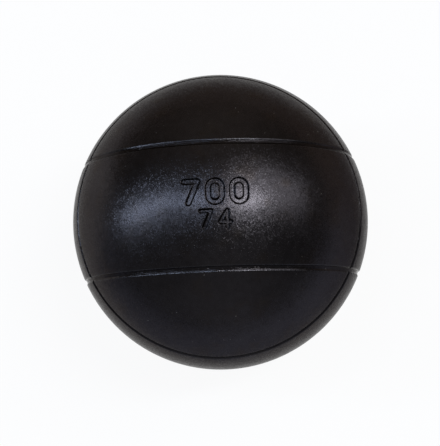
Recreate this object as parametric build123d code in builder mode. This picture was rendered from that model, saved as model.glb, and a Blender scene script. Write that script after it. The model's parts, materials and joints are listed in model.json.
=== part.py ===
from build123d import *
from math import cos, radians, sin, sqrt
import os

# A petanque boule: two forged steel cups, welded rim to rim, turned round and grooved.
# The origin is the centre of the ball. +Z is the axis of the weld and points to the marked half.
# Lengths are in millimetres, angles in degrees.

# The ball: the wall is set so that the steel weighs the engraved 700 g
ball_diameter = 74.0
wall = 6.14
steel_density = 7.85e-3

# The weld preparation of each rim and the weld metal in it
bevel_angle = 30.0
root_gap = 1.2
root_face = 1.8
root_ridge_width = 4.0
root_ridge_height = 0.7

# The grooves: two square pairs, one about Z and one about Y
groove_pair_pitch = 28.7
groove_width = 1.4
groove_depth = 0.32

# The mark: mass in grams over diameter in millimetres
mass_figures = "700"
diameter_figures = f"{ball_diameter:.0f}"
mass_figure_height = 6.0
diameter_figure_height = 4.4
figure_aspect = 0.7
figure_gap = 1.2
figure_line_gap = 1.0
mass_stroke_width = 1.15
diameter_stroke_width = 0.8
mark_depth = 0.4
mark_tool_start = 2.0

# Worked out from the sizes above
outer_radius = ball_diameter / 2
inner_radius = outer_radius - wall

# The section of a cup in the plane of X and Z, from the rim to the pole
half_gap = root_gap / 2
rim_inner_x = sqrt(inner_radius**2 - half_gap**2)
bevel_start_x = rim_inner_x + root_face
bevel_dx = cos(radians(bevel_angle))
bevel_dz = sin(radians(bevel_angle))
bevel_dot = bevel_start_x * bevel_dx + half_gap * bevel_dz
bevel_gap = outer_radius**2 - bevel_start_x**2 - half_gap**2
bevel_length = sqrt(bevel_dot**2 + bevel_gap) - bevel_dot

rim_inner = (rim_inner_x, half_gap)
bevel_start = (bevel_start_x, half_gap)
bevel_end = (bevel_start_x + bevel_length * bevel_dx, half_gap + bevel_length * bevel_dz)

# The groove tool is a torus: its round nose sinks square to the ball, along the groove's own circle
groove_nose_radius = (groove_width**2 / 4 + groove_depth**2) / (2 * groove_depth)
groove_centre_reach = outer_radius - groove_depth + groove_nose_radius
groove_sine = groove_pair_pitch / ball_diameter
groove_offset = groove_centre_reach * groove_sine
groove_ring_radius = groove_centre_reach * sqrt(1 - groove_sine**2)


def stroke(start, end, stroke_width):
    """One straight, round-ended pass of the engraving tool."""
    middle = (Vector(start) + Vector(end)) / 2
    SlotCenterPoint(middle, end, stroke_width)


def bend(centre_y, radius, start_angle, arc_size, stroke_width):
    """One round-ended pass along an arc whose centre is on the figure's middle line."""
    path = CenterArc((0, centre_y), radius, start_angle, arc_size, mode=Mode.PRIVATE)
    SlotArc(path, stroke_width)


def draw_figure(figure, height, stroke_width):
    """Cut one figure: its straight passes, then its bends. w and h are half its path's width and height."""
    w = (height * figure_aspect - stroke_width) / 2
    h = (height - stroke_width) / 2
    side = h - w
    loop = h / 2
    straight = {
        "0": [((-w, -side), (-w, side)), ((w, -side), (w, side))],
        "1": [((0, h), (0, -h)), ((0, h), (-w, loop))],
        "2": [((w, side), (-w, -h)), ((-w, -h), (w, -h))],
        "3": [],
        "4": [((w * 0.4, h), (-w, -h * 0.4)), ((-w, -h * 0.4), (w, -h * 0.4)), ((w * 0.4, h), (w * 0.4, -h))],
        "5": [((w, h), (-w, h)), ((-w, h), (-w, 0)), ((-w, 0), (0, 0))],
        "6": [((-w, -side), (-w, side))],
        "7": [((-w, h), (w, h)), ((w, h), (-w * 0.4, -h))],
        "8": [],
        "9": [((w, -side), (w, side))],
    }
    bends = {
        "0": [(side, w, 0, 180), (-side, w, 180, 180)],
        "1": [],
        "2": [(side, w, 0, 180)],
        "3": [(loop, loop, -90, 240), (-loop, loop, -150, 240)],
        "4": [],
        "5": [(-loop, loop, -150, 240)],
        "6": [(side, w, 30, 150), (-side, w, 0, 180), (-side, w, 180, 180)],
        "7": [],
        "8": [(loop, loop, 0, 180), (loop, loop, 180, 180), (-loop, loop, 0, 180), (-loop, loop, 180, 180)],
        "9": [(-side, w, 210, 150), (side, w, 0, 180), (side, w, 180, 180)],
    }
    for start, end in straight[figure]:
        stroke(start, end, stroke_width)
    for centre_y, radius, start_angle, arc_size in bends[figure]:
        bend(centre_y, radius, start_angle, arc_size, stroke_width)


def draw_row(text, height, stroke_width, centre_y):
    """A row of figures, centred on x = 0."""
    pitch = height * figure_aspect + figure_gap
    for place, figure in enumerate(text):
        x = (place - (len(text) - 1) / 2) * pitch
        with Locations((x, centre_y)):
            draw_figure(figure, height, stroke_width)


# The forged cup, the blank of both halves
with BuildPart() as cup:
    with BuildSketch(Plane.XZ):
        with BuildLine():
            Line(rim_inner, bevel_start)
            Line(bevel_start, bevel_end)
            RadiusArc(bevel_end, (0, outer_radius), -outer_radius)
            Line((0, outer_radius), (0, inner_radius))
            RadiusArc((0, inner_radius), rim_inner, inner_radius)
        make_face()
    revolve(axis=Axis.Z)

# The four groove cuts
with BuildPart() as grooves:
    with Locations(
        Plane.XY.offset(groove_offset),
        Plane.XY.offset(-groove_offset),
        Plane.XZ.offset(groove_offset),
        Plane.XZ.offset(-groove_offset),
    ):
        Torus(groove_ring_radius, groove_nose_radius)

# The mark, cut to one depth under the curved face
figure_block = mass_figure_height + figure_line_gap + diameter_figure_height
mass_row_y = figure_block / 2 - mass_figure_height / 2
diameter_row_y = diameter_figure_height / 2 - figure_block / 2

with BuildPart() as mark:
    with BuildSketch(Plane.XY.offset(outer_radius + mark_tool_start)):
        draw_row(mass_figures, mass_figure_height, mass_stroke_width, mass_row_y)
        draw_row(diameter_figures, diameter_figure_height, diameter_stroke_width, diameter_row_y)
    extrude(amount=-outer_radius)
    Sphere(outer_radius - mark_depth, mode=Mode.SUBTRACT)

# The marked half
with BuildPart() as upper_half_shell:
    add(cup.part)
    add(grooves.part, mode=Mode.SUBTRACT)
    add(mark.part, mode=Mode.SUBTRACT)

# The plain half
with BuildPart() as lower_half_shell:
    mirror(cup.part, about=Plane.XY)
    add(grooves.part, mode=Mode.SUBTRACT)

# The weld metal between the rims, turned flush outside, with a low ridge at its root
ridge_half = root_ridge_width / 2
ridge_toe_x = sqrt(inner_radius**2 - ridge_half**2)
ridge_crest = (inner_radius - root_ridge_height, 0)

with BuildPart() as weld_bead:
    with BuildSketch(Plane.XZ):
        with BuildLine():
            RadiusArc((ridge_toe_x, ridge_half), rim_inner, inner_radius)
            Line(rim_inner, bevel_start)
            Line(bevel_start, bevel_end)
            ThreePointArc(bevel_end, (outer_radius, 0), (bevel_end[0], -bevel_end[1]))
            Line((bevel_end[0], -bevel_end[1]), (bevel_start[0], -bevel_start[1]))
            Line((bevel_start[0], -bevel_start[1]), (rim_inner[0], -rim_inner[1]))
            RadiusArc((rim_inner[0], -rim_inner[1]), (ridge_toe_x, -ridge_half), inner_radius)
            ThreePointArc((ridge_toe_x, -ridge_half), ridge_crest, (ridge_toe_x, ridge_half))
        make_face()
    revolve(axis=Axis.Z)
    add(grooves.part, mode=Mode.SUBTRACT)

# One labelled STEP file for each piece
os.makedirs("parts", exist_ok=True)
pieces = {
    "upper_half_shell": upper_half_shell,
    "lower_half_shell": lower_half_shell,
    "weld_bead": weld_bead,
}
total_mass = 0.0
for name, builder in pieces.items():
    solid = builder.part.solids()[0]
    solid.label = name
    export_step(solid, f"parts/{name}.step")
    total_mass += solid.volume * steel_density
print("mass in grams:", round(total_mass, 1))
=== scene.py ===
# %% [markdown]
# A petanque boule is a hollow ball of hardened steel. Two forged cups are welded rim to rim, the ball is
# turned round, shallow grooves are cut for grip, and the whole is blackened so that it doesn't rust.
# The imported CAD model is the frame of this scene. Its sizes and its places are fixed, so this file only
# decides how the same three pieces look: finer surfaces, a finish, a floor, light and a camera.

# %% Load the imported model
import json

import bpy
import numpy as np
from mathutils import Matrix, Vector


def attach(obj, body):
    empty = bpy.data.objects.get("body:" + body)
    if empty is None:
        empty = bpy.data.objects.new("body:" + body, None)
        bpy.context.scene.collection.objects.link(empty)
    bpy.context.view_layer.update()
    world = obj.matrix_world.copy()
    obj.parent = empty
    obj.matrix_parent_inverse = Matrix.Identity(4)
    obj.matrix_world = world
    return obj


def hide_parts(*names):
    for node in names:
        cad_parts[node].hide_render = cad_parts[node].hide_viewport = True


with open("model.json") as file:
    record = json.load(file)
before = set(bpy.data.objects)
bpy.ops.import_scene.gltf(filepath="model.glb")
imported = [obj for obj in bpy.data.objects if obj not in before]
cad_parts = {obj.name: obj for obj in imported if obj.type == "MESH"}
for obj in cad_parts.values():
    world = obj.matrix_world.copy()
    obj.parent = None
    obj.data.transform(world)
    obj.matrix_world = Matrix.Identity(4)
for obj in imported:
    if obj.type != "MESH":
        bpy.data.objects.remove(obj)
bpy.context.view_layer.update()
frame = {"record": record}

# %% [markdown]
# Blender works in metres here and a maker thinks in millimetres, so one factor turns one into the other.
# The ball's radius comes from the record, where the point that it rests on is a radius below its centre.
# The weld's axis is Z and the marked half is the upper one. One pair of grooves goes round Z, the other
# round Y, so a groove is simply a circle at a fixed height along one of those two axes.

# %% Sizes of the ball, its grooves and its weld
mm = 0.001
ball_radius = -frame["record"]["mounts"][0]["pos_m"][2]
wall = 6.14 * mm
inner_radius = ball_radius - wall
groove_pair_pitch = 28.7 * mm
groove_width = 1.4 * mm
groove_depth = 0.32 * mm
groove_lip = 0.1 * mm
weld_bevel = np.radians(30.0)
weld_root_gap = 1.2 * mm
weld_root_face = 1.8 * mm
weld_ridge_width = 4.0 * mm
weld_ridge_height = 0.7 * mm

groove_latitude = np.arcsin(groove_pair_pitch / 2 / ball_radius)
groove_nose = (groove_width**2 / 4 + groove_depth**2) / (2 * groove_depth)
print("ball radius", ball_radius, "groove nose", round(groove_nose / mm, 3), "mm")

# %% [markdown]
# The cutter that makes a groove has a round nose and it sinks square to the ball. Its cut is therefore a
# piece of a circle. A real edge is never knife sharp: turning, blackening and play round it off, and that
# thin round lip is what catches the light. A boolean would leave a sharp edge, so the depth is written
# as a formula instead, and the lip is blended into it.

# %% Depth of the grooves
def soft_positive(height, blend):
    """The larger of height and zero, with the corner between them rounded over a width of 2 * blend.
    Formula: max(f, 0) + max(k - |f|, 0)^2 / 4k, which is exact outside the corner."""
    rounding = np.maximum(blend - np.abs(height), 0.0)
    return np.maximum(height, 0.0) + rounding**2 / (4 * blend)


def groove_distance(along_axis):
    """Distance on the ball from the middle of the nearer groove of a pair, from the unit direction's part
    along the pair's axis: the arc R * (asin |a| - latitude)."""
    return ball_radius * (np.arcsin(np.clip(np.abs(along_axis), 0.0, 1.0)) - groove_latitude)


def groove_cut(along_axis):
    """Depth of a pair of grooves under the ball's face. At the distance d from the middle the cut is the
    circle sqrt(r^2 - d^2) - (r - depth), and its corner with the face is rounded."""
    nose = np.sqrt(np.maximum(groove_nose**2 - groove_distance(along_axis) ** 2, 0.0))
    return soft_positive(nose - (groove_nose - groove_depth), groove_lip)


def both_pairs(measure, directions):
    """A distance or a cut at each direction, for the pair of grooves about Z and for the pair about Y."""
    return measure(directions[..., 2]), measure(directions[..., 1])


print("deepest groove cut", round(float(groove_cut(np.sin(groove_latitude))) / mm, 3), "mm")

# %% [markdown]
# The marked half carries two plain numbers: its mass in grams and, below, its diameter in millimetres. An
# engraving machine draws them with a round tool at one depth. The mass is cut with a wider tool than the
# diameter, so that the small figures stay open. Text objects would bring a font's outline, so each figure is
# described as the tool's path, and a point is cut if it lies within half a tool's width of that path.
# Distance to a path is easy to work out for a whole grid at once.

# %% Paths of the engraving tool
mass_height = 6.0 * mm
mass_tool_width = 1.15 * mm
diameter_height = 4.4 * mm
diameter_tool_width = 0.8 * mm
figure_aspect = 0.7


def path_distance(x, y, start, end):
    """Distance of the points (x, y) from a straight tool path: drop each point on the line and clamp."""
    run_x = end[0] - start[0]
    run_y = end[1] - start[1]
    share = ((x - start[0]) * run_x + (y - start[1]) * run_y) / (run_x**2 + run_y**2)
    share = np.clip(share, 0.0, 1.0)
    return np.hypot(x - start[0] - share * run_x, y - start[1] - share * run_y)


def figure_distance(figure, x, y, height, tool_width):
    """Distance of the points (x, y) from the tool path of one figure that is centred on the origin. The
    path reaches w to each side and h up and down. A nought is an oval: two half circles of radius w, joined
    by straight sides."""
    w = (height * figure_aspect - tool_width) / 2
    h = (height - tool_width) / 2
    if figure == "0":
        end_centre = np.maximum(np.abs(y) - (h - w), 0.0)
        return np.abs(np.hypot(x, end_centre) - w)
    upright_x = w * 0.4
    bar_y = -h * 0.4
    foot_x = -w * 0.4
    paths = {
        "4": [
            ((upright_x, h), (-w, bar_y)),
            ((-w, bar_y), (w, bar_y)),
            ((upright_x, h), (upright_x, -h)),
        ],
        "7": [((-w, h), (w, h)), ((w, h), (foot_x, -h))],
    }
    return np.min([path_distance(x, y, start, end) for start, end in paths[figure]], axis=0)


nought_reach = figure_distance("0", 0.0, 0.0, mass_height, mass_tool_width)
print("middle of a nought to its path", round(float(nought_reach) / mm, 3), "mm")

# %% [markdown]
# The two rows stand one above the other over the pole. A tool can't cut an upright wall on a curved ball, and
# the blackening softens its corners, so the depth rises in a smooth step. A sharp step could be cut with a
# boolean, but it would look stamped out of paper and would need far more faces.

# %% Depth of the engraved numbers
mark_depth = 0.4 * mm
mark_wall = 0.26 * mm
figure_gap = 1.2 * mm
figure_line_gap = 1.0 * mm
mark_height = mass_height + figure_line_gap + diameter_height


def inside_row(text, x, y, height, tool_width, centre_y):
    """How far the points lie inside the track of a row of figures that is centred on x = 0: half the
    tool's width less the distance from the nearest path."""
    pitch = height * figure_aspect + figure_gap
    middles = (np.arange(len(text)) - (len(text) - 1) / 2) * pitch
    nearest = np.min(
        [figure_distance(f, x - m, y - centre_y, height, tool_width) for f, m in zip(text, middles)], axis=0
    )
    return tool_width / 2 - nearest


def inside_mark(face):
    """How far the points of the face lie inside either row of figures, seen straight down on the pole.
    It is far below zero on the plain half."""
    x = face[..., 0]
    y = face[..., 1]
    mass_y = (mark_height - mass_height) / 2
    diameter_y = (diameter_height - mark_height) / 2
    mass_row = inside_row("700", x, y, mass_height, mass_tool_width, mass_y)
    diameter_row = inside_row("74", x, y, diameter_height, diameter_tool_width, diameter_y)
    return np.where(face[..., 2] > 0, np.maximum(mass_row, diameter_row), -ball_radius)


def mark_cut(face):
    """Depth of the engraving under the face: full inside the tool's track, and a smooth step,
    t^2 * (3 - 2t), across its steep wall."""
    step = np.clip(inside_mark(face) / mark_wall + 0.5, 0.0, 1.0)
    return mark_depth * step**2 * (3 - 2 * step)


print("mark is", round(mark_height / mm, 1), "mm tall and", round(mark_depth / mm, 2), "mm deep")

# %% [markdown]
# The outer face is the ball's radius less the deepest cut at each point. Three more numbers belong to each
# point, because wear and shade follow the shape. One is painted shade: the finish darkens the walls of the
# figures and the floors of the grooves, where the steel lies in its own shade. The edges of the grooves are
# rubbed bright where the ball hits the ground, and the tool has left fine lines along each groove, which need
# the distance from its middle. A painted mask would have to be fitted to the shape by eye. These are worked
# out from the same distances as the cuts, so they fit by themselves, and the finish reads them later.

# %% The outer face, its wear and its painted shade
# Sizes of the painted shade: the width of the dark band along the figures' walls, and its share on the grooves'
# floors.
shade_width = 0.2 * mm
groove_shade = 0.3
rub_width = 0.2 * mm
track_reach = 2.0


def outer_face(directions):
    """Points of the ball's outer face: each direction times the radius less the deepest cut there."""
    face = directions * ball_radius
    cut = np.maximum(*both_pairs(groove_cut, directions))
    cut = np.maximum(cut, mark_cut(face))
    return directions * (ball_radius - cut)[..., None]


def corner_shade(directions):
    """Share of painted shade at each point: a bell curve exp(-(d / s)^2) across the walls of the figures, and
    some of the cut's share of the full depth in the grooves, whichever is more."""
    figure_walls = np.exp(-((inside_mark(directions * ball_radius) / shade_width) ** 2))
    cut = np.maximum(*both_pairs(groove_cut, directions))
    return np.maximum(figure_walls, groove_shade * cut / groove_depth)


def edge_rub(directions):
    """Share of rubbing at each point: a bell curve exp(-(d / s)^2) across the two edges of each groove."""
    from_edges = [np.abs(np.abs(d) - groove_width / 2) for d in both_pairs(groove_distance, directions)]
    return np.exp(-((np.minimum(*from_edges) / rub_width) ** 2))


def groove_track(directions):
    """Distance in millimetres from the middle of the nearest groove, kept within the track's reach. It has
    no sign, so that it doesn't jump where another groove becomes the nearest."""
    from_middles = [np.abs(d) for d in both_pairs(groove_distance, directions)]
    return np.minimum(np.minimum(*from_middles) / mm, track_reach)


def face_wear_and_shade(directions):
    """All that the finish needs to know about each point of the outer face."""
    return {
        # The first value is painted shade, dark along the walls of the figures and in the grooves.
        "painted_shade": corner_shade(directions),
        "rub": edge_rub(directions),
        "track": groove_track(directions),
    }


in_a_groove = np.array([[np.cos(groove_latitude), 0.0, np.sin(groove_latitude)]])
print("in a groove", {name: round(float(value[0]), 2) for name, value in face_wear_and_shade(in_a_groove).items()})

# %% [markdown]
# A plain latitude and longitude grid would waste its faces on bare steel and starve the grooves. So the
# grid lines are shared out by a weight that is high where the shape bends quickly. The rows crowd at the
# groove that runs along them. In every row the columns crowd where that row crosses the other pair of
# grooves, so the columns bend to follow those grooves across the ball.

# %% Sharing out lines by weight
def plateau(places, start, end, soft):
    """A weight of one between start and end that fades out over the length soft: half the difference of
    two hyperbolic tangents."""
    return 0.5 * (np.tanh((places - start) / soft) - np.tanh((places - end) / soft))


def share_out(places, weight, count):
    """For each row of weight, count stations with equal shares of the weight between them. The running
    sum of the weight is inverted. Rows are laid end to end, so one interpolation serves them all."""
    weight = np.atleast_2d(weight)
    steps = 0.5 * (weight[:, 1:] + weight[:, :-1]) * np.diff(places)
    running = np.concatenate([np.zeros((len(weight), 1)), np.cumsum(steps, axis=1)], axis=1)
    running /= running[:, -1:]
    offset = 2.0 * np.arange(len(weight))[:, None]
    wanted = np.linspace(0.0, 1.0, count)[None, :] + offset
    known = np.tile(places, len(weight))
    return np.interp(wanted.ravel(), (running + offset).ravel(), known).reshape(len(weight), count)


even_places = np.linspace(0.0, 1.0, 101)
even_lines = share_out(even_places, np.ones_like(even_places), 5)[0]
print("five lines by even weight", even_lines.round(2).tolist())

# %% [markdown]
# The rims of the two cups are bevelled for the weld, and the outer face of a cup ends where its bevel meets
# the ball. That point could be read off a mesh, but it follows from the weld's sizes: a line that climbs at
# the bevel's angle from the root face meets a circle. The mark gets a fine square grid of its own at the
# pole, and the outline of that grid gives the number of columns for the whole ball.

# %% Rows and columns of the ball
mark_spacing = 0.11 * mm
mark_cells_x = 150
mark_cells_y = 114
columns = 2 * (mark_cells_x + mark_cells_y)
plain_rows_per_mm = 0.9
row_samples = 6000
crossing_weight = 7.0
crossing_width = 1.0 * mm
turn_samples = 4096

half_gap = weld_root_gap / 2
rim_inner_x = np.sqrt(inner_radius**2 - half_gap**2)
bevel_start_x = rim_inner_x + weld_root_face
bevel_dot = bevel_start_x * np.cos(weld_bevel) + half_gap * np.sin(weld_bevel)
bevel_length = np.sqrt(bevel_dot**2 + ball_radius**2 - bevel_start_x**2 - half_gap**2) - bevel_dot
rim_height = half_gap + bevel_length * np.sin(weld_bevel)
rim_polar = np.arccos(rim_height / ball_radius)


def polar_rows(first_arc):
    """Polar angles of the rows of a half shell, from an arc beside the pole, in millimetres, to the rim.
    The weight is in rows per millimetre of arc. Rows crowd beside the grooves about Y, which they follow
    for a while, in the groove about Z and at the rim. A crowd is given by its rows per millimetre, by the
    arcs where it starts and ends, and by the length of its fade."""
    ring_arc = (np.pi / 2 - groove_latitude) * ball_radius / mm
    near_arc = groove_latitude * ball_radius / mm
    rim_arc = rim_polar * ball_radius / mm
    crowds = (
        (2.5, near_arc + 2.0, near_arc + 11.0, 1.5),
        (7.0, near_arc - 1.8, near_arc + 2.4, 0.5),
        (8.0, ring_arc - 1.4, ring_arc + 1.4, 0.3),
        (6.0, rim_arc - 0.5, rim_arc + 0.5, 0.2),
    )
    arc = np.linspace(first_arc, rim_arc, row_samples)
    weight = np.full_like(arc, plain_rows_per_mm)
    for rows_per_mm, start, end, soft in crowds:
        weight += rows_per_mm * plateau(arc, start, end, soft)
    count = int(np.mean(weight) * (rim_arc - first_arc))
    return share_out(arc, weight, count)[0] * mm / ball_radius


def turn_angles(polar):
    """Angles about Z of the columns, one line for each polar angle. The weight rises near the grooves of
    the pair about Y, which lie where |y| is half the pair's pitch."""
    turn = np.linspace(0.0, 2 * np.pi, turn_samples)
    y = ball_radius * np.sin(polar)[:, None] * np.sin(turn)[None, :]
    beside = (np.abs(y) - groove_pair_pitch / 2) / crossing_width
    return share_out(turn, 1.0 + crossing_weight * np.exp(-(beside**2)), columns + 1)[:, :-1]


def unit_directions(polar, turn):
    """Unit vectors from a polar angle for each row and a turn for each point."""
    sine = np.sin(polar)[:, None]
    height = np.broadcast_to(np.cos(polar)[:, None], turn.shape)
    return np.stack([sine * np.cos(turn), sine * np.sin(turn), height], axis=-1)


def plan_directions(x, y):
    """Unit vectors to the upper half of the ball above the points (x, y) of its plan."""
    height = np.sqrt(ball_radius**2 - x**2 - y**2)
    return np.stack([x, y, height], axis=-1) / ball_radius


print(columns, "columns; rim of the cups at", round(rim_height / mm, 2), "mm above the weld's middle")

# %% [markdown]
# Every piece here is a stack of rings: rows of points that go once round the axis. Quads join each ring to
# the next. A cup ends in a tip at its inner pole, the plain cup starts in one at its outer pole too, and the
# weld is a stack that closes on itself. A Spin modifier could sweep a profile, but then every ring would be
# alike, and the columns could not bend. Point numbers in arrays make the faces of a whole piece at once.

# %% Faces between rings
def ring_quads(rings):
    """Quads that join each ring to the next, from an array of point numbers by ring and column."""
    beside = np.roll(rings, -1, axis=1)
    return np.stack([rings[:-1], rings[1:], beside[1:], beside[:-1]], axis=-1).reshape(-1, 4)


def grid_quads(numbers):
    """Quads of an open grid of point numbers, by row and column."""
    corners = [numbers[:-1, :-1], numbers[:-1, 1:], numbers[1:, 1:], numbers[1:, :-1]]
    return np.stack(corners, axis=-1).reshape(-1, 4)


def tip_fan(tip, ring):
    """Triangles that close a ring on one tip."""
    return np.stack([np.full_like(ring, tip), ring, np.roll(ring, -1)], axis=-1)


def grid_outline(numbers):
    """The outer points of a grid, once round from the middle of its right side, against the clock."""
    middle = numbers.shape[0] // 2
    right_up = numbers[middle:-1, -1]
    top = numbers[-1, :0:-1]
    left = numbers[:0:-1, 0]
    bottom = numbers[0, :-1]
    right_low = numbers[:middle, -1]
    return np.concatenate([right_up, top, left, bottom, right_low])


def straight_ring(x, z, turn):
    """A ring of radius x at the height z, with its points at the given turns about Z."""
    return np.stack([x * np.cos(turn), x * np.sin(turn), np.full_like(turn, z)], axis=-1)


print("outline of a grid of three by three", grid_outline(np.arange(9).reshape(3, 3)).tolist())

# %% [markdown]
# The edges of the rim are sharp and everything else is smooth, so that the outer face is shaded as one ball
# across the three pieces. Splitting the mesh at the rim would do that too, but the piece would no longer be
# closed. Edges that are marked sharp keep it whole. Wear and painted shade go into attributes of the same
# names.

# %% Turning rings into a closed mesh
def new_object(name, data):
    """An object that shows the given data in the scene."""
    thing = bpy.data.objects.new(name, data)
    bpy.context.scene.collection.objects.link(thing)
    return thing


def mark_sharp_rings(mesh, rings):
    """Mark the edges of the mesh sharp that have both ends on the same one of the given rings."""
    ring_of_point = np.full(len(mesh.vertices), -1)
    for number, ring in enumerate(rings):
        ring_of_point[ring] = number
    ends = np.zeros(len(mesh.edges) * 2, dtype=np.int64)
    mesh.edges.foreach_get("vertices", ends)
    ring_of_end = ring_of_point[ends.reshape(-1, 2)]
    along_ring = (ring_of_end[:, 0] == ring_of_end[:, 1]) & (ring_of_end[:, 0] >= 0)
    mesh.attributes.new("sharp_edge", "BOOLEAN", "EDGE").data.foreach_set("value", along_ring)


def closed_piece(name, points, quads, fans, sharp_rings, wear_and_shade):
    """A closed, smooth object from points and faces. The volume is a sum over the quads of the triple
    products of their corners: if it is below zero, the faces point inwards and are turned round. The wear and
    painted shade hold named values for the outer points, which come first."""
    corner = points[quads]
    volume = np.einsum("ij,ij->", corner[:, 0], np.cross(corner[:, 1], corner[:, 2]))
    volume += np.einsum("ij,ij->", corner[:, 0], np.cross(corner[:, 2], corner[:, 3]))
    faces = quads.tolist() + [face for fan in fans for face in fan.tolist()]
    if volume < 0:
        faces = [face[::-1] for face in faces]
    mesh = bpy.data.meshes.new(name)
    mesh.from_pydata(points.tolist(), [], faces)
    mesh.update()
    mesh.shade_smooth()
    mark_sharp_rings(mesh, sharp_rings)
    for wear_and_shade_name, outer_values in wear_and_shade.items():
        values = np.zeros(len(points), dtype=np.float32)
        values[: outer_values.size] = outer_values.ravel()
        mesh.attributes.new(wear_and_shade_name, "FLOAT", "POINT").data.foreach_set("value", values)
    print(name, len(points), "points", sum(len(face) - 2 for face in faces), "triangles")
    return new_object(name, mesh)


# %% [markdown]
# A half shell is followed from its outer pole down to the rim, along the weld's bevel and root face, and back
# up inside to its inner pole. The inside could be left open, because it is sealed and nobody sees it, but a
# closed wall has a volume and can be printed or cut. It needs few rings. Outer points come first in each
# list, because only they carry wear.

# %% The inside of a half shell
inner_rings = 10


def inside_rings(side, rim_turn):
    """Rings from the weld's bevel to just short of the inner pole: side is +1 above the weld, -1 below."""
    bevel = straight_ring(bevel_start_x, side * half_gap, rim_turn)
    root = straight_ring(rim_inner_x, side * half_gap, rim_turn)
    inner_polar = np.linspace(np.arccos(half_gap / inner_radius), 0.0, inner_rings + 2)[1:-1]
    inner_turn = np.broadcast_to(rim_turn, (inner_rings, columns))
    inside = unit_directions(inner_polar, inner_turn) * np.array([1.0, 1.0, side]) * inner_radius
    return np.concatenate([bevel[None], root[None], inside])


print(inner_rings + 2, "rings of", columns, "points from the bevel to the inner pole")

# %% [markdown]
# The marked half starts with the square grid over the mark. Eight rings lead from the outline of that grid to
# a circle, each a straight blend in plan between the two, and the rows of the ball go on from there. One fan
# of long triangles at the pole would be simpler, but the figures would fall to pieces in it.

# %% The marked half shell
blend_rings = 8
circle_arc = 12.4

mark_x = (np.arange(mark_cells_x + 1) - mark_cells_x / 2) * mark_spacing
mark_y = (np.arange(mark_cells_y + 1) - mark_cells_y / 2) * mark_spacing
mark_plan = np.stack(np.meshgrid(mark_x, mark_y), axis=-1)
mark_numbers = np.arange(mark_plan[..., 0].size).reshape(mark_plan.shape[:2])
outline = grid_outline(mark_numbers)
outline_plan = mark_plan.reshape(-1, 2)[outline]

marked_polar = polar_rows(circle_arc)
marked_rows = unit_directions(marked_polar, turn_angles(marked_polar))
circle_plan = marked_rows[0, :, :2] * ball_radius
share = (np.arange(1, blend_rings) / blend_rings)[:, None, None]
blend_plan = outline_plan * (1 - share) + circle_plan * share
marked_directions = np.concatenate(
    [
        plan_directions(mark_plan[..., 0], mark_plan[..., 1]).reshape(-1, 3),
        plan_directions(blend_plan[..., 0], blend_plan[..., 1]).reshape(-1, 3),
        marked_rows.reshape(-1, 3),
    ]
)
marked_inside = inside_rings(1.0, turn_angles(marked_polar[-1:])[0])
marked_points = np.concatenate(
    [outer_face(marked_directions), marked_inside.reshape(-1, 3), [[0.0, 0.0, inner_radius]]]
)
ring_count = blend_rings - 1 + len(marked_polar) + len(marked_inside)
marked_rings = mark_numbers.size + np.arange(ring_count * columns).reshape(ring_count, columns)
rim = ring_count - len(marked_inside) - 1
marked_half = closed_piece(
    "marked_half",
    marked_points,
    np.concatenate([grid_quads(mark_numbers), ring_quads(np.concatenate([outline[None], marked_rings]))]),
    [tip_fan(len(marked_points) - 1, marked_rings[-1])[:, ::-1]],
    marked_rings[rim : rim + 3],
    face_wear_and_shade(marked_directions),
)

# %% [markdown]
# The plain half is the same walk below the weld, from a tip at its outer pole. It could be a mirrored copy of
# the marked half, but it has no mark and so needs no square grid. The mirrored rings would point inwards, and
# the sign of the volume turns them round.

# %% The plain half shell
plain_polar = polar_rows(0.0)[1:]
plain_rows = unit_directions(plain_polar, turn_angles(plain_polar)) * np.array([1.0, 1.0, -1.0])
plain_directions = plain_rows.reshape(-1, 3)
plain_inside = inside_rings(-1.0, turn_angles(plain_polar[-1:])[0])
plain_tips = np.array([[0.0, 0.0, -ball_radius], [0.0, 0.0, -inner_radius]])
plain_points = np.concatenate([outer_face(plain_directions), plain_inside.reshape(-1, 3), plain_tips])
ring_count = len(plain_polar) + len(plain_inside)
plain_rings = np.arange(ring_count * columns).reshape(ring_count, columns)
rim = len(plain_polar) - 1
plain_half = closed_piece(
    "plain_half",
    plain_points,
    ring_quads(plain_rings),
    [
        tip_fan(len(plain_points) - 2, plain_rings[0]),
        tip_fan(len(plain_points) - 1, plain_rings[-1])[:, ::-1],
    ],
    plain_rings[rim : rim + 3],
    face_wear_and_shade(plain_directions),
)

# %% [markdown]
# The weld fills the V between the two rims. Outside it is turned flush, so its face is the same sphere and
# the grooves run straight on across it. Inside it keeps the low ridge that the weld leaves at its root. A
# ring made by itself would leave hairline cracks beside the cups. Its rings use the same turns as the rims,
# so the pieces meet point to point with no crack for light.

# %% The weld
weld_rows = 12
ridge_rows = 7
weld_polar = np.linspace(rim_polar, np.pi - rim_polar, weld_rows)
rim_turn = turn_angles(np.array([rim_polar]))[0]
weld_directions = unit_directions(weld_polar, np.broadcast_to(rim_turn, (weld_rows, columns)))
ridge_half = weld_ridge_width / 2
ridge_toe_x = np.sqrt(inner_radius**2 - ridge_half**2)
ridge_share = np.linspace(-1.0, 1.0, ridge_rows)
ridge_crown = (1 - ridge_share**2) * (ridge_toe_x - inner_radius + weld_ridge_height)
weld_section = [
    (bevel_start_x, -half_gap),
    (rim_inner_x, -half_gap),
    *zip(ridge_toe_x - ridge_crown, ridge_share * ridge_half),
    (rim_inner_x, half_gap),
    (bevel_start_x, half_gap),
]
weld_root = np.array([straight_ring(x, z, rim_turn) for x, z in weld_section])
weld_points = np.concatenate([outer_face(weld_directions), weld_root]).reshape(-1, 3)
weld_rings = np.arange(len(weld_points)).reshape(-1, columns)
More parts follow.
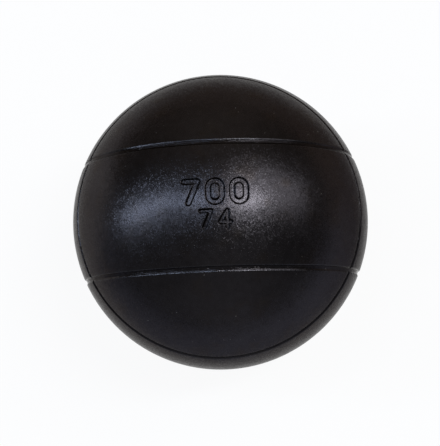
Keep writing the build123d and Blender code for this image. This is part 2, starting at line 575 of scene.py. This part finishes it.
weld_seam = closed_piece(
    "weld_seam",
    weld_points,
    ring_quads(np.concatenate([weld_rings, weld_rings[:1]])),
    [],
    weld_rings[[0, weld_rows - 1, weld_rows, weld_rows + 1, -2, -1]],
    face_wear_and_shade(weld_directions),
)

# %% [markdown]
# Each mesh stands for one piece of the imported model, which stays for collision and is hidden here. The packed
# pieces could be shown as they are, but their edges are sharp and their faces are large. Nothing on the ball
# moves, so every piece rides on the one body.

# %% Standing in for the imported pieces
for piece, node, slot in (
    (marked_half, "upper_half_shell", "blackened_steel"),
    (plain_half, "lower_half_shell", "blackened_steel"),
    (weld_seam, "weld_bead", "blackened_weld"),
):
    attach(piece, "root")
    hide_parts(node)
    print(piece.name, "stands for", node)

# %% [markdown]
# The finish is blackened carbon steel: the turned steel is oxidised black in a hot salt bath and then oiled
# or waxed. To the eye it is a very dark metal with a satin gloss. One flat dark colour would look like
# plastic, so the finish is put together from the layers that the real one has, plus a painted shade in its
# corners, each in a cell of its own.
# A layer is a group of nodes, and one function adds a node with its settings and links. Colours are written
# as sRGB hex values, as a picture editor shows them, and another function makes them linear.

# %% Colours and nodes
def linear(hex_colour):
    """Linear RGBA from an sRGB hex value: c / 12.92 when small, else ((c + 0.055) / 1.055) ** 2.4."""
    channels = np.array([int(hex_colour[i : i + 2], 16) for i in (1, 3, 5)]) / 255
    curve = np.where(channels <= 0.04045, channels / 12.92, ((channels + 0.055) / 1.055) ** 2.4)
    return (*curve.tolist(), 1.0)


def empty_tree(owner):
    """The node tree of a material or a world, with no nodes in it."""
    owner.use_nodes = True
    owner.node_tree.nodes.clear()
    return owner.node_tree


def add_node(tree, kind, inputs=None, **settings):
    """Add one node, set its properties, and fill its inputs with values or links from other sockets."""
    node = tree.nodes.new(kind)
    for name, value in settings.items():
        setattr(node, name, value)
    for socket, source in (inputs or {}).items():
        if isinstance(source, bpy.types.NodeSocket):
            tree.links.new(source, node.inputs[socket])
        else:
            node.inputs[socket].default_value = source
    return node


print("middle grey #808080 is", round(linear("#808080")[0], 3), "in linear light")

# %% [markdown]
# A few kinds of node come back in every layer: noise, a change of range, a step of arithmetic, a mix of two
# colours and a bump. They could be written out each time. A small function for each keeps a layer so short
# that it reads like its description. Sizes in textures are given in millimetres on the ball.

# %% Nodes that come back in every layer
def per_mm(size):
    """Texture scale whose features are about size millimetres across."""
    return 1.0 / (size * mm)


def noise(tree, place, size, **inputs):
    """Soft random values from zero to one, with features of about size millimetres."""
    inputs = {"Vector": place, "Scale": per_mm(size), **inputs}
    return add_node(tree, "ShaderNodeTexNoise", inputs).outputs["Fac"]


def remap(tree, value, before, after=(0.0, 1.0), interpolation="LINEAR"):
    """The value moved from one range to another, and kept within the second."""
    inputs = {"Value": value, "From Min": before[0], "From Max": before[1]}
    inputs.update({"To Min": after[0], "To Max": after[1]})
    node = add_node(tree, "ShaderNodeMapRange", inputs, interpolation_type=interpolation)
    return node.outputs["Result"]


def number_math(tree, operation, *operands):
    """One step of arithmetic on numbers."""
    node = add_node(tree, "ShaderNodeMath", dict(enumerate(operands)), operation=operation)
    return node.outputs["Value"]


def vector_math(tree, operation, *operands):
    """One step of arithmetic on vectors, whose result is a vector."""
    node = add_node(tree, "ShaderNodeVectorMath", dict(enumerate(operands)), operation=operation)
    return node.outputs["Vector"]


def mix_numbers(tree, share, first, second):
    """The first number, with a share of the second mixed in."""
    return add_node(tree, "ShaderNodeMix", {"Factor": share, "A": first, "B": second}).outputs["Result"]


def mix_colours(tree, share, first, second):
    """The first colour, with a share of the second mixed in. The third output is the one for colours."""
    inputs = {"Factor": share, "A": first, "B": second}
    return add_node(tree, "ShaderNodeMix", inputs, data_type="RGBA").outputs[2]


def bump(tree, height, depth, normal):
    """The normal after a bump that is depth millimetres high where the height is one."""
    inputs = {"Height": height, "Strength": 1.0, "Distance": depth * mm, "Normal": normal}
    return add_node(tree, "ShaderNodeBump", inputs).outputs["Normal"]


print("a feature of one millimetre has the texture scale", round(per_mm(1.0)))

# %% [markdown]
# The oxide doesn't grow evenly. It is a shade lighter and rougher in some places than in others, in wide
# clouds with small mottles in them, and old wax has dried to a thin brown film here and there. A painted
# picture would have to be wrapped round the ball and would show a seam. Noise fills space, so it has no seam,
# and its scale is simply a length on the ball. The ranges say which part of a noise makes a difference.

# %% The oxide
cloud_size = 12.0
mottle_size = 1.6
mottle_share = 0.45
tone_range = (0.38, 0.62)
roughness_range = (0.35, 0.65)
smooth_oxide = 0.24
rough_oxide = 0.3
film_size = 5.0
film_range = (0.54, 0.72)
film_most = 0.8
film_colour = "#38322e"


def oxide_layer(tree, place, dark, light):
    """Colour, roughness and mottle of the bare oxide. Two noises are mixed into patches, which take the
    colour from dark to light and the roughness from smooth to rough. The brown film lies where a third
    noise is high, and the mottle breaks it up."""
    cloud = noise(tree, place, cloud_size, Detail=3.0)
    mottle = noise(tree, place, mottle_size, Detail=3.0, Roughness=0.6)
    film = noise(tree, place, film_size, Detail=2.0)
    patches = mix_numbers(tree, mottle_share, cloud, mottle)
    tone = mix_colours(tree, remap(tree, patches, tone_range), linear(dark), linear(light))
    film_place = remap(tree, film, film_range, (0.0, film_most))
    film_share = number_math(tree, "MULTIPLY", film_place, mottle)
    colour = mix_colours(tree, film_share, tone, linear(film_colour))
    rough = remap(tree, patches, roughness_range, (smooth_oxide, rough_oxide))
    return colour, rough, mottle


print("clouds of", cloud_size, "mm, mottles of", mottle_size, "mm, film of", film_size, "mm")

# %% [markdown]
# The ball has been played with. The edges of its grooves are rubbed towards bare steel and pale dust lies on
# it.
# Its corners, the walls of the figures and the floors of the grooves, are darkened towards black as painted
# shade. Rub and shade are read from the values on the points, because they follow the shape. Dust follows
# nothing and could be thousands of small meshes. A scatter in the material is lighter: a cell texture splits
# space into random cells, and each holds one grain of a random radius, or none. Dust isn't metal, so the metal
# stops under a grain.

# %% Rubbed edges, dust and painted shade
speck_spacing = 1.3
speck_radius = 0.12
speck_edge = 0.02
empty_cells = 0.4
rubbed_colour = "#3d3c3d"
dust_colour = "#8d877f"
# The next colour is near black and paints the shade on the figures' walls and in the grooves.
painted_shade_colour = "#0a0807"


def wear_and_shade_layer(tree, place, oxide_colour, mottle):
    """Colour of the worn face with its painted shade, and its share of bare metal. Rubbing comes first, then
    dust, then the painted shade of the corners. A point lies under a grain if it is nearer to the middle of its
    cell than the grain's radius. The radius goes from nothing to the largest as the cell's random grey goes
    from the empty cells' share to one. The pattern measures distances in cells."""
    # The first value read here is painted shade along the figures' walls and in the grooves.
    painted_shade = add_node(tree, "ShaderNodeAttribute", attribute_name="painted_shade").outputs["Fac"]
    rub = add_node(tree, "ShaderNodeAttribute", attribute_name="rub").outputs["Fac"]
    cell = add_node(tree, "ShaderNodeTexVoronoi", {"Vector": place, "Scale": per_mm(speck_spacing)}).outputs
    radius = remap(tree, cell["Color"], (empty_cells, 1.0), (0.0, speck_radius / speck_spacing))
    inside_speck = number_math(tree, "SUBTRACT", radius, cell["Distance"])
    specks = remap(tree, inside_speck, (0.0, speck_edge))
    rubbed = number_math(tree, "MULTIPLY", rub, mottle)
    colour = oxide_colour
    for layer_share, layer_colour in ((rubbed, rubbed_colour), (specks, dust_colour), (painted_shade, painted_shade_colour)):
        colour = mix_colours(tree, layer_share, colour, linear(layer_colour))
    bare_metal = remap(tree, specks, (0.0, 1.0), (1.0, 0.0))
    return colour, bare_metal


print("dust grains up to", 2 * speck_radius, "mm across, in cells of about", speck_spacing, "mm")

# %% [markdown]
# The grooves are cut after forging, so they are smoother than the face, and the cutter has left fine lines
# along them. Real ridges in the mesh would take ten times as many rows. The lines are so low that a bump does
# as well: a wave of the distance from the groove's middle, which each point carries. They are a little
# coarser than real tool lines, so that they show.

# %% Tool lines in the grooves
tool_line_pitch = 0.45
tool_line_depth = 0.025
cut_roughness = 0.14
groove_floor = 0.7


def groove_lines(tree):
    """Share of cut face at each point, one on the floor of a groove and zero from its edge, and the height of
    the tool lines: that share times the sine of 2 pi times the distance over the pitch."""
    track = add_node(tree, "ShaderNodeAttribute", attribute_name="track").outputs["Fac"]
    half_groove = groove_width / mm / 2
    in_groove = remap(tree, track, (groove_floor * half_groove, half_groove), (1.0, 0.0))
    phase = number_math(tree, "MULTIPLY", track, 2 * np.pi / tool_line_pitch)
    wave = number_math(tree, "SINE", phase)
    return in_groove, number_math(tree, "MULTIPLY", wave, in_groove)


print("about", round(groove_width / mm / tool_line_pitch), "tool lines in a groove")

# %% [markdown]
# In the glow of a lamp the oxide breaks up into a sparkle, because it is made of crystals. Each of them faces
# a way of its own, and some are glossier than others. A bump from noise would give soft waves. Here each cell
# of a cell texture is one crystal, and its random colour sets the tilt and the gloss of the whole cell.
# Real crystals are far finer. These are as coarse as they need to be to show.

# %% The crystals of the oxide
crystal_size = 0.125
crystal_tilt = 0.2
crystal_gloss = 0.2


def crystal_facets(tree, place):
    """Normals of the crystals, and a factor for their roughness. A normal is the smooth one plus the largest
    tilt times (2c - 1)^5 of three random numbers c, brought back to the length one. The fifth power leaves
    most of them flat and lets a few stand out. The factor lies between 1 - g and 1 + g for the gloss g, by
    the grey of the same numbers."""
    pattern = {"Vector": place, "Scale": per_mm(crystal_size)}
    numbers = add_node(tree, "ShaderNodeTexVoronoi", pattern).outputs["Color"]
    tilt = vector_math(tree, "MULTIPLY_ADD", numbers, (2.0, 2.0, 2.0), (-1.0, -1.0, -1.0))
    square = vector_math(tree, "MULTIPLY", tilt, tilt)
    cube = vector_math(tree, "MULTIPLY", tilt, square)
    fifth = vector_math(tree, "MULTIPLY", cube, square)
    smooth_normal = add_node(tree, "ShaderNodeNewGeometry").outputs["Normal"]
    largest_tilt = (crystal_tilt, crystal_tilt, crystal_tilt)
    tilted = vector_math(tree, "MULTIPLY_ADD", fifth, largest_tilt, smooth_normal)
    facets = vector_math(tree, "NORMALIZE", tilted)
    rough_factor = remap(tree, numbers, (0.0, 1.0), (1.0 - crystal_gloss, 1.0 + crystal_gloss))
    return facets, rough_factor


print("largest tilt of a crystal", round(float(np.degrees(np.arctan(crystal_tilt))), 1), "degrees")

# %% [markdown]
# Now the layers come together. The steel under the film still reflects as a metal does, so the shader is
# metallic and keeps the default IOR. The oxide is porous and swallows light, also at a flat angle, where
# bare steel would shine: for a metal that is the specular tint, here a grey. Play has left shallow dents,
# which go over everything as a last bump. Cup and weld are different steels and blacken to slightly different
# tones, so one function makes both.

# %% Blackened carbon steel
dent_size = 2.5
dent_depth = 0.05
flat_angle_tint = "#bebdbc"


def blackened_steel(name, dark, light):
    """Near-black oxide on steel: the oxide, its wear and painted shade, smooth grooves with tool lines,
    crystals and dents.
    """
    material = bpy.data.materials.new(name)
    tree = empty_tree(material)
    place = add_node(tree, "ShaderNodeTexCoord").outputs["Object"]
    oxide_colour, oxide_rough, mottle = oxide_layer(tree, place, dark, light)
    colour, bare_metal = wear_and_shade_layer(tree, place, oxide_colour, mottle)
    in_groove, lines = groove_lines(tree)
    facets, rough_factor = crystal_facets(tree, place)
    face_rough = number_math(tree, "MULTIPLY", oxide_rough, rough_factor)
    turned = bump(tree, lines, tool_line_depth, facets)
    dents = noise(tree, place, dent_size, Detail=2.0)
    shader = add_node(
        tree,
        "ShaderNodeBsdfPrincipled",
        {
            "Base Color": colour,
            "Metallic": bare_metal,
            "Roughness": mix_numbers(tree, in_groove, face_rough, cut_roughness),
            "Specular Tint": linear(flat_angle_tint),
            "Normal": bump(tree, dents, dent_depth, turned),
        },
    )
    add_node(tree, "ShaderNodeOutputMaterial", {"Surface": shader.outputs["BSDF"]})
    print(name, "has", len(tree.nodes), "nodes")
    return material


steel = blackened_steel("blackened_carbon_steel", "#333031", "#3a3738")
weld_steel = blackened_steel("blackened_weld_steel", "#343132", "#3b3839")
marked_half.data.materials.append(steel)
plain_half.data.materials.append(steel)
weld_seam.data.materials.append(weld_steel)

# %% [markdown]
# The camera looks almost straight down on the marked half. A camera could be placed by eye, but its distance
# shows in how the grooves curve in perspective: eight radii. The lens then follows from the size of the ball
# in the picture.

# %% The camera
picture_long_side = 446
ball_radius_pixels = 147.4
camera_distance = 8.0 * ball_radius
camera_tilt = np.radians(6.7)
camera_yaw = np.radians(1.6)
camera_roll = np.radians(-1.97)
camera_aside = (-0.127 * mm, -0.18 * mm)
focal_pixels = ball_radius_pixels * np.sqrt((camera_distance / ball_radius) ** 2 - 1)

camera_data = bpy.data.cameras.new("camera")
camera_data.sensor_width = 36.0
camera_data.lens = focal_pixels * camera_data.sensor_width / picture_long_side
camera_data.clip_start = 0.01
camera_data.clip_end = 50.0
camera = new_object("camera", camera_data)
camera_turn = (
    Matrix.Rotation(camera_yaw, 4, "Y")
    @ Matrix.Rotation(camera_tilt, 4, "X")
    @ Matrix.Rotation(camera_roll, 4, "Z")
)
camera.matrix_world = camera_turn @ Matrix.Translation((*camera_aside, camera_distance))
bpy.context.scene.camera = camera
bpy.context.scene.view_settings.view_transform = "Standard"
print("lens", round(camera_data.lens, 1), "mm")

# %% [markdown]
# The ball lies on a sheet of white paper on a table. Both could be meshes, but a real edge of the paper would
# show as a hard line in the steel. So one flat disc holds both, and its material goes softly from the one to
# the other. It is a stage and not a part of the object.

# %% The floor
floor_radius = 3.0
floor_corners = 96
floor_turn = np.linspace(0.0, 2 * np.pi, floor_corners + 1)[:-1]
floor_points = straight_ring(floor_radius, -ball_radius, floor_turn)
floor_mesh = bpy.data.meshes.new("floor")
floor_mesh.from_pydata(floor_points.tolist(), [], [list(range(floor_corners))])
floor = new_object("floor", floor_mesh)
print("floor", round(float(floor_points[0, 2]) / mm, 1), "mm from the ball's centre")

# %% [markdown]
# The paper fades into the table just outside the picture: soonest on the right and in front, a little later
# behind, and only far out on the left. Where it ends matters, because the ball's sides mirror it. A picture
# of a paper's edge would fix all that at once, but a short list is easier to tune: each edge is given by the
# way that it faces, in degrees from +X, and by the two distances in millimetres between which the paper
# fades. The table is pale grey in front, warmer behind and darker on the left.

# %% Where the paper ends, and the table beside it
paper_edges = ((0, 63, 72), (80, 73, 130), (180, 500, 900), (250, 80, 105), (270, 63, 88))
table_front = "#d2d1d8"
table_back = "#b49e8a"
front_to_back = (-100 * mm, 100 * mm)
left_shade_range = (-200 * mm, -80 * mm)
left_shade = 0.6


def paper_share(tree, place):
    """Share of paper at each point: the product over the edges of a smooth step from one to zero, along the
    way that the edge faces."""
    on_paper = 1.0
    for facing_angle, start, end in paper_edges:
        facing = (np.cos(np.radians(facing_angle)), np.sin(np.radians(facing_angle)), 0.0)
        reach = add_node(
            tree, "ShaderNodeVectorMath", {0: place, 1: facing}, operation="DOT_PRODUCT"
        ).outputs["Value"]
        edge = remap(tree, reach, (start * mm, end * mm), (1.0, 0.0), "SMOOTHSTEP")
        on_paper = number_math(tree, "MULTIPLY", on_paper, edge)
    return on_paper


def table_colour(tree, place):
    """Colour of the table: a blend from front to back, times a shade that falls towards the left."""
    part = add_node(tree, "ShaderNodeSeparateXYZ", {"Vector": place}).outputs
    behind = remap(tree, part["Y"], front_to_back)
    table = mix_colours(tree, behind, linear(table_front), linear(table_back))
    shade = remap(tree, part["X"], left_shade_range, (left_shade, 1.0))
    shaded = add_node(tree, "ShaderNodeVectorMath", {0: table, "Scale": shade}, operation="SCALE")
    return shaded.outputs["Vector"]


print("the paper has", len(paper_edges), "edges")

# %% [markdown]
# Paper under a plain light is pale grey, not white. More light would make it white but would also burn out
# the steel. So rays from the camera, and those that gloss or glass sends on, see the paper mixed with plain
# white, while the light that it spreads stays as it is. The ball's soft shadow still shows. From below the
# floor is clear, so that the ball's underside can be looked at.

# %% White paper on a table
paper_colour = "#efefef"
paper_whiteness = 0.92
paper_roughness = 0.9

paper = bpy.data.materials.new("white_paper")
tree = empty_tree(paper)
place = add_node(tree, "ShaderNodeTexCoord").outputs["Object"]
on_paper = paper_share(tree, place)
ray = add_node(tree, "ShaderNodeLightPath").outputs
whitened = ray["Is Camera Ray"]
for other_ray in ("Is Glossy Ray", "Is Transmission Ray"):
    whitened = number_math(tree, "MAXIMUM", whitened, ray[other_ray])
for share_of_white in (on_paper, paper_whiteness):
    whitened = number_math(tree, "MULTIPLY", whitened, share_of_white)
tone = mix_colours(tree, on_paper, table_colour(tree, place), linear(paper_colour))
sheet = add_node(
    tree, "ShaderNodeBsdfPrincipled", {"Base Color": tone, "Roughness": paper_roughness}
).outputs["BSDF"]
white = add_node(
    tree, "ShaderNodeEmission", {"Color": linear("#ffffff"), "Strength": 1.0}
).outputs["Emission"]
pale = add_node(tree, "ShaderNodeMixShader", {"Fac": whitened, 1: sheet, 2: white}).outputs["Shader"]
clear = add_node(tree, "ShaderNodeBsdfTransparent").outputs["BSDF"]
below = add_node(tree, "ShaderNodeNewGeometry").outputs["Backfacing"]
surface = add_node(tree, "ShaderNodeMixShader", {"Fac": below, 1: pale, 2: clear}).outputs["Shader"]
add_node(tree, "ShaderNodeOutputMaterial", {"Surface": surface})
floor_mesh.materials.append(paper)
print(paper.name, "has", len(tree.nodes), "nodes")

# %% [markdown]
# Four soft boxes light the ball from above: a broad weak one and a narrow bright one on the right, and two
# cooler strips on the left, one of them low. Point lamps would give hard dots on a satin metal. A soft box
# gives a glow of its own shape. Their places are given as seen from the camera, because a glow is matched by
# where it lies in the picture.

# %% The lamps
lamp_distance = 1.2


def soft_box(name, direction, turn, width, height, radiance, colour):
    """A rectangular lamp, width by height in metres, that faces the ball from the given direction, with its
    width turned by an angle in degrees from the picture's level. An area lamp of power P and area A has the
    radiance P / (pi * A), so the power is worked out from the radiance that is wanted."""
    lamp = bpy.data.lights.new(name, "AREA")
    lamp.shape = "RECTANGLE"
    lamp.size = width
    lamp.size_y = height
    lamp.energy = radiance * np.pi * width * height
    lamp.color = linear(colour)[:3]
    towards = Vector(direction).normalized()
    level = Vector((np.cos(np.radians(turn)), np.sin(np.radians(turn)), 0.0))
    across = (level - towards * towards.dot(level)).normalized()
    facing = Matrix((across, towards.cross(across), towards)).transposed().to_4x4()
    stand = new_object(name, lamp)
    stand.matrix_world = camera_turn @ Matrix.Translation(towards * lamp_distance) @ facing
    print(name, "power", round(lamp.energy, 2), "W")


soft_box("right_soft_box", (0.56, 0.41, 0.72), 0.0, 1.2, 0.44, 2.5, "#f0f4ff")
soft_box("right_strip", (0.32, 0.26, 0.911), 9.0, 0.5, 0.11, 35.0, "#eef5ff")
soft_box("middle_strip", (-0.3, 0.275, 0.913), 8.0, 0.46, 0.11, 18.5, "#c6deff")
soft_box("left_strip", (-0.82, 0.155, 0.551), 6.0, 1.0, 0.1, 18.0, "#cbe1ff")

# %% [markdown]
# The room fills the rest with a soft grey. An even grey would make the ball look flat, because a dark metal
# shows little but what it mirrors. A photo of a room would be a file of its own. So the room is a few blends:
# dim overhead and at the sides, paler in front and behind, and a little warmer behind. The ranges are parts
# of the unit direction along Y and X.

# %% The room
front_light = "#f2f6ff"
back_light = "#e2d7cb"
back_range = (-0.8, 0.8)
wall_range = (0.2, 1.0)
overhead_strength = 0.22
wall_strength = 0.44
side_range = (0.15, 0.7)
side_shade = 0.65

world = bpy.data.worlds.new("studio")
bpy.context.scene.world = world
tree = empty_tree(world)
direction = add_node(tree, "ShaderNodeTexCoord").outputs["Generated"]
part = add_node(tree, "ShaderNodeSeparateXYZ", {"Vector": direction}).outputs
back_share = remap(tree, part["Y"], back_range)
room_colour = mix_colours(tree, back_share, linear(front_light), linear(back_light))
off_zenith = number_math(tree, "ABSOLUTE", part["Y"])
room_light = remap(tree, off_zenith, wall_range, (overhead_strength, wall_strength))
off_middle = number_math(tree, "ABSOLUTE", part["X"])
shade = remap(tree, off_middle, side_range, (1.0, side_shade))
strength = number_math(tree, "MULTIPLY", room_light, shade)
room = add_node(tree, "ShaderNodeBackground", {"Color": room_colour, "Strength": strength})
add_node(tree, "ShaderNodeOutputWorld", {"Surface": room.outputs["Background"]})
print(world.name, "has", len(tree.nodes), "nodes")
